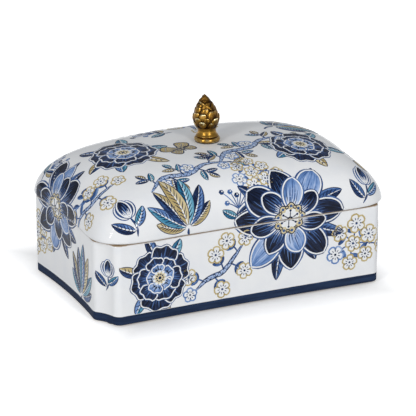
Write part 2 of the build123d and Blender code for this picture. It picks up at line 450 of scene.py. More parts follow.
baseShell = makeBase()
lidShell = makeLid()
for shell in (baseShell, lidShell):
    shell.data.set_sharp_from_angle(angle=math.radians(40))
print("ceramic shells made")


# The wall that the motifs are painted on

paint = {
    "rise": 0.10, "levelRise": 0.015, "sink": 0.13,       # how a coat lies on the glaze, mm
    "cell": 2.0, "lineCell": 1.6,                        # size of the mesh of a wash and of a line
    "seamRise": 0.12,                                    # a little more where the lips round off
    "clearAboveSeam": 1.1, "clearBelowSeam": 1.5, "clearAboveBand": 0.35,
    "directions": 64, "stride": 2.5,                     # how finely a motif is laid over the wall
    "extra": 20.0, "wallRings": 12,                      # how far the wall is taken past its edges
}


class Ground:
    # the outer wall of one body, with the height between which it is painted
    def __init__(self, body, rings, low, high, lipRound, upward):
        self.body, self.low, self.high = body, low, high
        self.lipRound, self.upward = lipRound, upward
        points = solid(rings)
        count, around = points.shape[:2]
        along = np.roll(points, -1, axis=1) - np.roll(points, 1, axis=1)
        normals = np.cross(along, np.gradient(points, axis=0)).reshape(-1, 3)
        normals /= np.linalg.norm(normals, axis=1)[:, None]
        self.corners = [corner for face in ringFaces(count, around, False)
                        for corner in ((face[0], face[1], face[2]), (face[0], face[2], face[3]))]
        self.points = [Vector(point) for point in points.reshape(-1, 3).tolist()]
        self.normals = [Vector(normal) for normal in normals.tolist()]
        self.tree = BVHTree.FromPolygons(self.points, self.corners)

    def smooth(self, place, index):
        a, b, c = self.corners[index]
        return barycentric_transform(place, self.points[a], self.points[b], self.points[c],
                                     self.normals[a], self.normals[b], self.normals[c]).normalized()

    def nearest(self, point):
        place, _, index, _ = self.tree.find_nearest(point)
        return place, self.smooth(place, index)

    def spot(self, side, across, up):
        # the point of the wall seen square on from one side, and the way that is up there
        away = 2 * plan["length"]
        if side == "top":
            return self.tree.ray_cast(Vector((across, up, away)), Vector((0, 0, -1)))[0], Vector((0, 1, 0))
        x, y = {"front": (0, 1), "back": (0, -1), "left": (1, 0), "right": (-1, 0)}[side]
        start = Vector((across * y - away * x, -across * x - away * y, up))
        return self.tree.ray_cast(start, Vector((x, y, 0)))[0], Vector((0, 0, 1))

    def spread(self, place, upward, reach):
        # table of the points of the wall round a place, by direction and distance along the wall
        place, normal = self.nearest(place)
        right = upward.cross(normal).normalized()
        upward = normal.cross(right)
        count, rows = math.ceil(reach / paint["stride"]) + 1, []
        for step in range(paint["directions"]):
            turn = 2 * math.pi * step / paint["directions"]
            heading = right * math.cos(turn) + upward * math.sin(turn)
            point, facing, row = place, normal, [place]
            for _ in range(count):
                point, facing = self.nearest(point + heading * paint["stride"])
                heading = (heading - facing * heading.dot(facing)).normalized()
                row.append(point)
            rows.append(row)
        return np.array(rows)


levels = np.linspace(foot - paint["extra"], seat + paint["extra"], paint["wallRings"])
bodyGround = Ground("base", [(boxRing(), level) for level in levels],
                    foot + glaze["bandTop"] + paint["clearAboveBand"], seat - paint["clearBelowSeam"],
                    base["lipOuter"], 1)
lidGround = Ground("lid", [(domeRing(0), seat - paint["extra"]), (domeRing(0), seat - paint["extra"] / 2)]
                   + domeRings(0, crown, seat, lid["domeSteps"]),
                   seat + paint["clearAboveSeam"], crown + 1, lid["edgeRound"], -1)
print("walls laid out for painting")


# Flat forms, in millimetres. Each takes u along and v across, from -1 to 1, as arrays.

def petal(start, angle, length, width, bend=0.0, root=0.7, tip=0.6, part=(-1, 1)):
    # petal or leaf; part keeps a strip of its width
    peak = root / (root + tip)
    bend, angle = math.radians(bend) + 1e-6, math.radians(angle)

    def form(u, v):
        across = (part[0] + part[1]) / 2 + v * (part[1] - part[0]) / 2
        swell = (u / peak) ** root * ((1 - u) / (1 - peak)) ** tip
        spine = length * (np.exp(1j * bend * u) - 1) / (1j * bend)
        return start + np.exp(1j * angle) * (spine + across * swell * width / 2 * 1j * np.exp(1j * bend * u))
    return form


def frill(start, angle, inner, outer, spread, lobes=3.0, depth=0.05, phase=0.0):
    # broad petal with a softly lobed edge, round a flower's heart
    angle, spread = math.radians(angle), math.radians(spread)

    def form(u, v):
        edge = outer * (1 + depth * np.cos(lobes * math.pi * v + phase)) * (1 - 0.22 * v ** 4)
        return start + (inner + (edge - inner) * u) * np.exp(1j * (angle + spread / 2 * v * (0.5 + 0.5 * u)))
    return form


def through(points, steps=8):
    # smooth open line through given points
    p = np.array([2 * points[0] - points[1], *points, 2 * points[-1] - points[-2]])
    t = (np.arange(steps) / steps)[:, None]
    a, b, c, d = p[:-3], p[1:-2], p[2:-1], p[3:]
    square, cube = 2 * a - 5 * b + 4 * c - d, 3 * b - a - 3 * c + d
    curve = 0.5 * (2 * b + (c - a) * t + square * t ** 2 + cube * t ** 3)
    return np.append(curve.T.ravel(), points[-1])


def ribbon(points, width, taper=(0.25, 0.25)):
    # brush line of a width along points, thinner at its ends
    lengths = np.append(0, np.cumsum(abs(np.diff(points))))
    headings = np.gradient(points)
    headings /= abs(headings)

    def form(u, v):
        place = u * lengths[-1]
        spine = np.interp(place, lengths, points.real) + 1j * np.interp(place, lengths, points.imag)
        heading = np.interp(place, lengths, headings.real) + 1j * np.interp(place, lengths, headings.imag)
        press = np.minimum(1, (u + 0.03) / taper[0]) ** 0.7 * np.minimum(1, (1.03 - u) / taper[1]) ** 0.7
        return spine + v * width / 2 * press * 1j * heading
    return form, lengths[-1]


class Coat:
    # all the strokes of one ink on one body
    def __init__(self):
        self.points, self.faces, self.normals, self.tones, self.strokes = [], [], [], [], []
        self.count = 0


coats = {}


class Brush:
    # paints flat forms round one spot of a wall
    def __init__(self, ground, side, across, up, turn, size, reach, level, random):
        self.ground, self.size, self.level, self.random = ground, size, level, random
        self.turn = size * np.exp(1j * math.radians(turn))
        place, upward = ground.spot(side, across, up)
        self.table = ground.spread(place, upward, reach * size)

    def lay(self, flat):
        # points and normals of the wall under a flat form
        flat = flat * self.turn
        rows, steps = self.table.shape[:2]
        far = np.minimum(abs(flat) / paint["stride"], steps - 1.001)
        turn = np.angle(flat) / (2 * math.pi) * rows % rows
        near, row = far.astype(int), turn.astype(int) % rows
        far, turn = (far - near)[..., None], (turn - row)[..., None]
        after = (row + 1) % rows
        table = self.table
        rough = ((table[row, near] * (1 - far) + table[row, near + 1] * far) * (1 - turn)
                 + (table[after, near] * (1 - far) + table[after, near + 1] * far) * turn)
        found = [self.ground.nearest(Vector(point)) for point in rough.reshape(-1, 3).tolist()]
        points = np.array([place for place, _ in found]).reshape(rough.shape)
        normals = np.array([normal for _, normal in found]).reshape(rough.shape)
        return points, normals

    def wash(self, form, length, width, ink, tone, level=0, cell=None):
        cell, seed = cell or paint["cell"], self.random.uniform(0, 50)
        rows, columns = [max(least, math.ceil(size * self.size / cell))
                         for least, size in ((3, length), (1, width))]
        u = (1 - np.cos(math.pi * np.linspace(0, 1, rows + 1))) / 2
        u, v = np.meshgrid(np.clip(u, 0.004, 0.996), np.linspace(-1, 1, columns + 1), indexing="ij")
        points, normals = self.lay(form(u, v))
        ground = self.ground
        outside = (points[..., 2] < ground.low) | (points[..., 2] > ground.high)
        lost = outside[:-1, :-1] & outside[1:, :-1] & outside[:-1, 1:] & outside[1:, 1:]
        if lost.all():
            return
        points[..., 2] = np.clip(points[..., 2], ground.low, ground.high)
        rise = paint["rise"] + paint["levelRise"] * (self.level + level)
        rise = rise + paint["seamRise"] * np.clip((2 * ground.lipRound - abs(points[..., 2] - seat))
                                                  / ground.lipRound, 0, 1)
        # the wall bends away towards the seam
        bent = np.clip(1 - abs(points[..., 2] - seat) / ground.lipRound, 0, 1)[..., None]
        flatShare = np.sqrt(1 - bent ** 2)
        points = points - normals * ground.lipRound * (1 - flatShare)
        normals = normals * flatShare + np.array([0, 0, ground.upward]) * bent
        top, bottom = points + normals * rise[..., None], points - normals * paint["sink"]
        self.shell(~lost, top, bottom, normals, tone(u, v) if callable(tone) else tone + 0 * u,
                   np.stack([u * length, v * width / 2, np.full(u.shape, seed)], -1), ink)

    def shell(self, kept, top, bottom, normals, tones, strokes, ink):
        # closes the coat: upper side, underside, and a wall wherever a kept cell has no neighbour
        coat = coats.setdefault((self.ground.body, ink), Coat())
        index = np.arange(top[..., 0].size).reshape(top.shape[:2]) + coat.count
        under = index + index.size
        framed = np.pad(kept, 1)
        a, b, c, d = [(slice(None, -1), slice(None, -1)), (slice(1, None), slice(None, -1)),
                      (slice(1, None), slice(1, None)), (slice(None, -1), slice(1, None))]
        sides = [(a, b, framed[1:-1, :-2]), (b, c, framed[2:, 1:-1]),
                 (c, d, framed[1:-1, 2:]), (d, a, framed[:-2, 1:-1])]
        quads = [np.stack([index[corner][kept] for corner in (a, b, c, d)], -1),
                 np.stack([under[corner][kept] for corner in (d, c, b, a)], -1)]
        for one, other, neighbour in sides:
            edge = kept & ~neighbour
            quads.append(np.stack([index[one][edge], under[one][edge],
                                   under[other][edge], index[other][edge]], -1))
        coat.points += [top.reshape(-1, 3), bottom.reshape(-1, 3)]
        coat.normals += [normals.reshape(-1, 3)] * 2
        coat.tones += [tones.ravel()] * 2
        coat.strokes += [strokes.reshape(-1, 3)] * 2
        coat.faces += quads
        coat.count += 2 * index.size

    def line(self, points, width, ink, tone=0.0, level=0, taper=(0.25, 0.25)):
        form, length = ribbon(np.asarray(points), width, taper)
        self.wash(form, length, width, ink, tone, level, paint["lineCell"])

    def stalk(self, points, width, tone=0.4, level=0):
        self.line(through(points), width, "cobalt", tone, level)

    def dot(self, place, across, ink, tone=0.0, level=0):
        self.wash(petal(place - across / 2, 0, across, across, root=0.5, tip=0.5),
                  across, across, ink, tone, level, paint["lineCell"])

    def rim(self, form, width, ink, tone=0.0, level=0, start=0.0, overhang=1.0, blunt=False):
        # line round the edge of a petal, also along its end if that is blunt
        u = np.linspace(start, 1, 12) ** 0.8
        edge = [form(u, -overhang + 0 * u), form(u[::-1], overhang + 0 * u)]
        if blunt:
            v = np.linspace(-overhang, overhang, 18)[1:-1]
            edge.insert(1, form(1 + 0 * v, v))
        self.line(np.concatenate(edge), width, ink, tone, level, (0.08, 0.08))

    def rays(self, form, count, reach, width, ink, tone=1.0, level=0, start=0.08, spread=0.75):
        # hatching that fans out from a petal's root
        for step in range(count):
            across = spread * (2 * (step + 0.5) / count - 1) + self.random.uniform(-0.06, 0.06)
            end = reach * self.random.uniform(0.7, 1.1) * (1 - 0.3 * abs(across))
            u = np.linspace(start, max(start + 0.1, end), 6)
            self.line(form(u, across * (0.8 + 0.2 * u / u[-1])), width, ink, tone, level, (0.15, 0.6))


# Tones of the washes, from dark 0 to light 1, by place along and across

def deepTone(u, v):
    return 0.05 + 0.48 * np.clip(1 - u / 0.8, 0, 1) ** 1.4 + 0.10 * abs(v) ** 3


def middleTone(u, v):
    return 0.24 + 0.36 * (1 - u) ** 1.5 + 0.10 * v


def paleTone(u, v):
    return 0.92 - 0.30 * u ** 3 - 0.34 * np.clip(v, 0, 1) ** 2


def leafTone(light):
    return lambda u, v: light + 0.12 * v - 0.12 * u


# Motifs, drawn upright round the point 0

def polar(distance, angle):
    return distance * np.exp(1j * math.radians(angle))


def alternate(count):
    # every other petal first, so that those between lie over them
    return [*range(0, count, 2), *range(1, count, 2)]


def paintPetal(b, form, length, width, tone, level, rays=5):
    # one petal with a blue outer line, its hatching and its white edge
    pale = tone is paleTone
    b.rim(form, 2.6, "cobalt", 0.42, level, overhang=1.08)
    b.wash(form, length, width, "cobalt", tone, level + 1)
    b.rays(form, rays, 0.85, 1.2, "cobalt", 0.45 if pale else 0.5, level + 2, 0.12, 0.7)
    b.rays(form, rays + 2, 0.5, 0.95, "white", 1.0, level + 3, 0.06, 0.8)
    b.rim(form, 1.25, "white", 1.0, level + 3)


def paintLotus(b):
    # a great open flower with pointed petals in two tiers, over striped sepals
    random = b.random
    for step in range(9):
        angle = 40 * step + 12 + random.uniform(-7, 7)
        length = random.uniform(26, 36)
        paintLeaf(b, polar(22, angle), angle, length, 11.5, random.uniform(-30, 30),
                  (("cobalt", 0.30), ("cobalt", 0.55)), 0, 6)
    tiers = ((8, 45, 23.5, 0, 1), (7, 30, 18.5, 24, 9))
    for count, length, width, turn, level in tiers:
        for step in alternate(count):
            angle = 360 / count * step + turn + random.uniform(-6, 6)
            form = petal(polar(6, angle), angle, length * random.uniform(0.88, 1.06),
                         width * random.uniform(0.88, 1.05), random.uniform(-26, 26), 0.95,
                         random.uniform(0.58, 0.85))
            tone = paleTone if step % 4 == 1 else deepTone
            paintPetal(b, form, length, width, tone, level + 4 * (step % 2))
    b.dot(0, 23, "white", 1.0, 17)
    for step in range(9):
        angle = 40 * step + random.uniform(-5, 5)
        tuft = frill(polar(7.5, angle), angle, 0.4, 6.6, 150, 2.0, 0.12)
        b.wash(tuft, 6, 8, "tan", 0.7, 18)
        b.rim(tuft, 0.9, "line", 0.15, 19, 0.4, blunt=True)
        b.dot(polar(11.5, angle), 2.7, "cobalt", 0.45, 20)
    for step in range(6):
        angle = 60 * step + 20
        b.line(np.linspace(1.5, 7.5, 4) * polar(1, angle), 0.9, "line", 0.1, 20)
        b.dot(polar(7.6, angle), 2.2, "line", 0.3, 21)
    b.dot(0, 5.0, "cobalt", 0.25, 21)
    b.dot(0, 2.2, "tan", 0.9, 22)


def paintPeony(b):
    # a full flower with broad ruffled petals in three tiers
    random = b.random
    for step in range(6):
        angle = 60 * step + 28 + random.uniform(-8, 8)
        paintLeaf(b, polar(20, angle), angle, random.uniform(16, 24), 9.5, random.uniform(-25, 25),
                  leafInks[step % 5], 0, 4)
    tiers = ((6, 28.5, 74, 0, deepTone, 0.12), (6, 21.0, 72, 28, deepTone, 0.22),
             (5, 13.5, 84, 8, paleTone, 0.0))
    for tier, (count, outer, spread, turn, tone, lift) in enumerate(tiers):
        for step in alternate(count):
            angle = 360 / count * step + turn + random.uniform(-7, 7)
            form = frill(0, angle, 2.0, outer * random.uniform(0.9, 1.06),
                         spread * random.uniform(0.9, 1.05), random.uniform(2.2, 3.2), 0.045,
                         random.uniform(-0.6, 0.6))
            level = 1 + 8 * tier + 4 * (step % 2)
            b.rim(form, 2.4, "cobalt", 0.45, level, 0.45, 1.05, True)
            b.wash(form, outer, outer, "cobalt", lambda u, v: tone(u, v) + lift * (1 - abs(v)), level + 1)
            b.rays(form, 7, 0.92, 1.1, "cobalt", 0.05 if tier == 2 else 0.5, level + 2, 0.5, 0.8)
            b.rim(form, 1.1, "white", 1.0, level + 3, 0.5, 1.0, True)
    b.dot(0, 12, "tan", 0.75, 27)
    for step in range(10):
        b.dot(polar(5.8, 36 * step), 2.7, "white", 1.0, 28)
        b.dot(polar(3.2, 36 * step + 18), 1.5, "line", 0.1, 29)
    b.dot(0, 3.2, "cobalt", 0.2, 29)


def paintLeaf(b, start, angle, length, width, bend, inks, level=0, veins=6):
    # long leaf in two halves, with a white rib and dark veins
    random = b.random
    whole = petal(start, angle, length, width, bend, 0.75, 0.85)
    for half, (ink, tone) in zip(((-1, 0), (0, 1)), inks):
        form = petal(start, angle, length, width, bend, 0.75, 0.85, half)
        b.wash(form, length, width / 2, ink, leafTone(tone), level)
    u = np.linspace(0.0, 0.96, 12)
    b.line(whole(u, 0 * u), 1.1, "white", 1.0, level + 1, (0.1, 0.6))
    b.rim(whole, 0.7, "line", 0.2, level + 1)
    for step in range(veins):
        root = 0.12 + 0.72 * step / veins
        for side in (-1, 1):
            reach = random.uniform(0.6, 0.85)
            place = np.linspace(0, 1, 4)
            vein = whole(root + 0.13 * place, side * reach * place)
            b.line(vein, 1.0, "line", 0.15, level + 2, (0.3, 0.6))


leafInks = (
    (("teal", 0.75), ("teal", 0.3)), (("cobalt", 0.6), ("cobalt", 0.3)), (("tan", 0.55), ("cobalt", 0.35)),
    (("cobalt", 0.75), ("teal", 0.5)), (("tan", 0.7), ("tan", 0.4)),
)


def paintLeaves(b):
    # a fan of long leaves from one stalk
    fan = ((-74, 30, 10.5, 24), (68, 31, 11, -22), (-48, 41, 12.5, 15), (45, 43, 12, -15), (-22, 48, 13, 8),
           (20, 46, 12.5, -8), (-2, 53, 13.5, 4))
    shift = int(b.random.integers(5))
    for step, (lean, length, width, bend) in enumerate(fan):
        angle = 90 + lean
        inks = leafInks[(step * 2 + shift) % 5]
        paintLeaf(b, polar(3, angle), angle, length, width, bend, inks, 3 * step, 8)
    b.stalk([0j, -2 - 6j, 1 - 13j], 2.4, 0.3, 1)


def paintBough(b, points, width, level=0):
    # a branch with curling marks on pale bark
    random = b.random
    form, length = ribbon(through(points, 14), width, (0.3, 0.5))
    b.wash(form, length, width, "cobalt", 0.9, level)
    for side in (-1, 1):
        u = np.linspace(0.02, 0.98, int(length / 4))
        b.line(form(u, side * 0.95 + 0.12 * np.sin(u * length)), 1.0, "cobalt", 0.3, level + 1)
    count = int(length / 3.1)
    for step in range(count):
        u = (step + random.uniform(0.2, 0.8)) / count
        side = 1 if step % 2 else -1
        turn = np.linspace(-0.3, 1.15, 6) * math.pi
        curl = np.clip(u + 1.5 * np.cos(turn) / length, 0, 1)
        b.line(form(curl, side * (0.30 + 0.5 * np.sin(turn))), random.uniform(1.1, 1.5), "cobalt",
               random.uniform(0.05, 0.4), level + 2, (0.3, 0.5))


def paintBlossom(b, place, across, turn, level, ink="tan"):
    # five round petals with a coloured edge, dots round the heart
    for step in range(5):
        angle = 72 * step + turn
        form = petal(place + polar(0.08 * across, angle), angle, across * 0.46, across * 0.44, 0, 0.55, 0.32)
        b.wash(form, across * 0.46, across * 0.44, "white", 1.0, level)
        b.rim(form, 1.5, ink, 0.45 if ink == "tan" else 0.7, level + 1, 0.25)
        b.line(form(np.linspace(0.2, 0.55, 3), np.zeros(3)), 0.7, "line", 0.3, level + 2)
        b.dot(place + polar(across * 0.25, angle + 36), 1.4, "line", 0.3, level + 2)
    b.dot(place, across * 0.15, "cobalt", 0.3, level + 2)


def paintPrunus(b):
    # a flowering twig
    points = [-26 - 24j, -14 - 12j, 1 - 5j, 10 + 8j, 20 + 25j]
    paintBough(b, points, 4.6)
    stem = through(points, 10)
    for place, angle, length in ((8, 165, 15), (14, -50, 14), (21, 125, 16), (27, -25, 15), (34, 140, 14)):
        start, heading = stem[place], polar(1, angle)
        end = start + heading * length
        b.stalk([start, start + heading * length * 0.5 + 1.2, end], 1.5, 0.4, 1)
        for side in (-45, 50):
            leaf = petal(start + heading * length * 0.45, angle + side, 9, 4)
            b.wash(leaf, 9, 4, "cobalt", leafTone(0.5), 1)
        paintBlossom(b, end + heading * 3, b.random.uniform(14, 17), b.random.uniform(0, 72), 4)
    paintBlossom(b, stem[-1] + 3j, 14, 10, 4)
    paintBlossom(b, stem[0] - 4 - 3j, 13, 30, 4, "cobalt")


def paintBlossoms(b):
    # loose cluster of small blossoms and buds
    places = (0j, 15 + 7j, -13 + 11j, 3 + 18j, -17 - 8j, 12 - 11j, -3 - 17j, 28 - 5j)
    for place in places[1:]:
        b.stalk([0j, place * 0.5 + 1.5j, place], 1.2, 0.45)
        leaf = petal(place * 0.55, math.degrees(np.angle(place)) + 70, 9, 4.2, 20)
        b.wash(leaf, 9, 4.2, "cobalt", leafTone(0.55), 1)
    for step, place in enumerate(places):
        paintBlossom(b, place, b.random.uniform(12.5, 16), b.random.uniform(0, 72), 3,
                     "cobalt" if step == 4 else "tan")


def paintSprig(b):
    # a light twig with small leaves
    stem = through([0j, 2 + 12j, -1 + 25j, 4 + 38j])
    b.line(stem, 1.3, "cobalt", 0.6)
    for step in range(7):
        side = 1 if step % 2 else -1
        length, angle = 15 - step, 90 - side * b.random.uniform(35, 60)
        leaf = petal(stem[3 + 3 * step], angle, length, 5.6 - 0.3 * step, side * 20, 0.8, 0.6)
        b.wash(leaf, length, 5, "cobalt", leafTone(0.55), 1)
    b.wash(petal(stem[-1], 80, 9, 4), 9, 4, "cobalt", 0.5, 1)


def paintBud(b):
    # a closed bud on a curved stalk, with two leaves
    b.stalk([0j, 3 + 8j, 2 + 18j], 1.9, 0.35)
    for lean, tone in ((-26, middleTone), (26, middleTone), (0, deepTone)):
        form = petal(2 + 17j, 90 + lean, 20 - abs(lean) / 10, 10.5, -lean * 0.8, 0.7, 0.7)
        paintPetal(b, form, 20, 10.5, tone, 3 if lean else 7, 3)
    paintLeaf(b, 1 + 5j, 150, 22, 8.5, -30, leafInks[1], 1, 5)
    paintLeaf(b, 2 + 8j, 25, 20, 8, 30, leafInks[3], 1, 5)


def paintBerries(b):
    # a spray of berries with fine stalks
    for step in range(7):
        end = polar(13 + 5 * (step % 3), 35 + 19 * step)
        b.stalk([0j, end * 0.5 + 1j, end], 0.9, 0.5)
        b.dot(end, 5.2, "cobalt", 0.25 if step % 2 else 0.55, 1)
        b.dot(end + 0.7 + 0.7j, 1.5, "white", 1.0, 2)
    b.stalk([0j, -2 - 8j, 2 - 15j], 1.5)
    paintLeaf(b, -1 - 6j, 20, 20, 8, 20, leafInks[2], 1, 5)
    paintLeaf(b, -1 - 8j, 160, 18, 7.5, -20, leafInks[0], 1, 5)


def paintButterfly(b):
    # wings in tan with dark edges and spots
    for side in (-1, 1):
        for lean, length, width in ((38, 24, 17), (-28, 17, 14)):
            form = petal(1.0 * side, lean if side > 0 else 180 - lean, length, width, 14 * side, 0.8, 0.32)
            b.wash(form, length, width, "tan", lambda u, v: 0.75 - 0.45 * u, 1)
            b.rim(form, 1.5, "line", 0.25, 2, 0.15)
            b.rays(form, 5, 0.85, 0.8, "line", 0.3, 2, 0.1)
            for step in range(3):
                place = complex(form(np.array(0.72), np.array(-0.55 + 0.55 * step)))
                b.dot(place, 2.8, "cobalt", 0.35, 3)
                b.dot(place, 1.2, "white", 1.0, 4)
        b.line(through([6j, 3 * side + 11j, 6 * side + 14j]), 0.8, "line", 0.2, 3)
    b.wash(petal(-8j, 90, 16, 3.6, 0, 0.6, 0.6), 16, 3.6, "line", 0.15, 4)


def paintLongBough(b):
    # an arching branch with leaves and small flowers on its side shoots
    points = [-56 - 8j, -34 + 7j, -6 + 3j, 18 + 13j, 48 + 7j]
    paintBough(b, points, 6.5)
    stem = through(points, 10)
    shoots = ((5, 115, 15), (12, -65, 16), (18, 110, 18), (25, -55, 15), (32, 75, 15), (38, -30, 12))
    for place, angle, length in shoots:
        start, heading = stem[place], polar(1, angle)
        b.stalk([start, start + heading * length * 0.55 + 1.5, start + heading * length], 1.8, 0.4, 1)
        for step in range(3):
            lean = angle + (48 if step % 2 else -48) * (step < 2)
            paintLeaf(b, start + heading * length * (0.4 + 0.28 * step), lean, 17 - 2 * step, 6.4, 15,
                      leafInks[(place + step) % 5], 2, 4)
    for place, across in ((9, 13), (22, 14), (35, 12)):
        paintBlossom(b, stem[place] + polar(9, 70 * place), across, 20, 8, "cobalt")


# each motif and its reach in mm
motifs = {
    "lotus": (paintLotus, 62), "peony": (paintPeony, 48), "leaves": (paintLeaves, 60),
    "prunus": (paintPrunus, 48), "sprig": (paintSprig, 52), "bud": (paintBud, 46),
    "berries": (paintBerries, 32), "butterfly": (paintButterfly, 34), "bough": (paintLongBough, 78),
    "blossoms": (paintBlossoms, 42),
}
# for each side: motif, place across and up (seen square on, mm), turn in degrees, size, level, bodies
layout = {
    "front": (
        ("lotus", 36, 72, 8, 1.0, 3, "base lid"),
        ("peony", -84, 38, 20, 0.95, 3, "base"),
        ("prunus", -26, 38, -8, 0.9, 0, "base"),
        ("leaves", -58, 78, 18, 0.9, 0, "lid"),
        ("blossoms", 98, 40, 0, 1.0, 0, "base"),
        ("bud", 106, 76, -14, 1.0, 0, "lid"),
        ("berries", -12, 88, 0, 0.9, 0, "lid"),
        ("bud", -104, 78, 24, 1.0, 0, "lid"),
    ),
    "top": (
        ("bough", -40, -62, 4, 0.8, 0, "lid"),
        ("peony", -78, 2, 40, 1.05, 3, "lid"),
        ("peony", 72, -36, 10, 1.0, 4, "lid"),
        ("blossoms", 8, -70, 0, 0.8, 0, "lid"),
        ("bough", 32, -32, 18, 0.9, 0, "lid"),
        ("leaves", 72, 16, -70, 0.95, 3, "lid"),
        ("butterfly", -30, -12, 25, 0.75, 2, "lid"),
        ("prunus", 14, 58, 200, 0.85, 0, "lid"),
        ("butterfly", 92, 40, -30, 1.0, 0, "lid"),
        ("berries", -30, 44, 60, 1.0, 0, "lid"),
        ("sprig", -112, -34, 75, 1.0, 0, "lid"),
    ),
    "left": (
        ("lotus", -20, 74, 40, 0.85, 3, "base lid"),
        ("leaves", 34, 12, -6, 0.85, 0, "base"),
        ("blossoms", -62, 38, 0, 0.85, 0, "base"),
        ("prunus", 40, 96, 30, 0.85, 0, "lid"),
        ("bud", 75, 30, -2, 0.75, 0, "base"),
        ("berries", -56, 96, -10, 0.85, 0, "lid"),
    ),
    "back": (
        ("lotus", 52, 72, 30, 1.0, 3, "base lid"),
        ("prunus", -16, 38, 0, 0.95, 0, "base"),
        ("peony", -84, 62, 0, 1.0, 3, "base lid"),
        ("leaves", 108, 14, 14, 0.85, 0, "base"),
        ("bud", -30, 78, 15, 1.0, 0, "lid"),
        ("bough", 0, 100, 0, 0.8, 0, "lid"),
    ),
    "right": (
        ("peony", 18, 66, 15, 1.0, 3, "base lid"),
        ("leaves", -50, 14, 12, 0.85, 0, "base"),
        ("sprig", 64, 14, -8, 1.0, 0, "base"),
        ("berries", 60, 88, 0, 1.0, 0, "lid"),
        ("butterfly", -46, 92, 0, 0.9, 0, "lid"),
    ),
}
grounds = {"base": bodyGround, "lid": lidGround}
motifRows = [(side, *row) for side, rows in layout.items() for row in rows]
for place, (side, motif, across, up, turn, size, level, bodies) in enumerate(motifRows):
    draw, reach = motifs[motif]
    for body in bodies.split():
        # the same seed on both bodies, so that a flower carries on over the seam
        random = np.random.default_rng(100 + place)
        draw(Brush(grounds[body], side, across, up, turn, size, reach, level, random))
print("motifs drawn:", len(motifRows))


# tones of each ink from dark to light, then how much its streaks change them
inks = {
    "cobalt": ((0.0, "#0e1424"), (0.2, "#1d2947"), (0.45, "#35568c"), (0.7, "#6d90c6"), (1.0, "#bccdea")),
    "teal": ((0.0, "#173f63"), (0.35, "#2a769c"), (0.7, "#7ab4cb"), (1.0, "#b4d6e2")),
    "tan": ((0.0, "#8d7a4e"), (0.4, "#bca873"), (0.7, "#d3c69f"), (1.0, "#e9e2cc")),
    "white": ((0.0, "#e4e7ec"), (1.0, "#eceef0")),
    "line": ((0.0, "#12182a"), (0.4, "#26375f"), (1.0, "#5f83bd")),
}
streakShares = {"cobalt": 0.5, "teal": 0.45, "tan": 0.4, "white": 0.2, "line": 0.3}


def makeInk(name):
    f = Finish(name + "_under_glaze")
    strokes = f.node("Attribute", {"attribute_name": "stroke"}, output="Vector")
    tone = f.node("Attribute", {"attribute_name": "tone"}, output="Fac")
    streaks = f.noise(f.scaled(strokes, (0.07, 0.8, 1.0)), 1.0, 3.0) - 0.5
    pools = f.noise(f.place(), 260.0, 2.0) - 0.5
    shade = f.node("ValToRGB", {"stops": inks[name]},
                   {"Fac": tone + streaks * (2 * streakShares[name]) + pools * 0.18})
    return glazed(f, shade)


inkFinishes = {name: makeInk(name) for name in inks}
for (body, ink), coat in sorted(coats.items()):
    faces, points = np.concatenate(coat.faces), np.concatenate(coat.points)
    used, numbers = np.unique(faces, return_inverse=True)
    piece = makeMesh(f"{body}_{ink}_strokes", points[used], numbers.reshape(-1, 4).tolist(),
                     inkFinishes[ink], body)
    mesh = piece.data
    tones = mesh.attributes.new("tone", "FLOAT", "POINT")
    tones.data.foreach_set("value", np.concatenate(coat.tones)[used])
    strokes = mesh.attributes.new("stroke", "FLOAT_VECTOR", "POINT")
    strokes.data.foreach_set("vector", np.concatenate(coat.strokes)[used].ravel())
    mesh.normals_split_custom_set_from_vertices(np.concatenate(coat.normals)[used].tolist())
    print(piece.name, len(mesh.polygons), "faces")


# How the photograph was taken

photoCamera = {
    "azimuth": -25.30, "elevation": 19.10, "distance": 1.9164, "target": (0.00076, -0.00036, 0.0596),
    "focalPixels": 2194.6, "imagePixels": 416, "sensor": 36.0,
}


# The brass finial: turned foot and neck, and a cast bud of overlapping scales

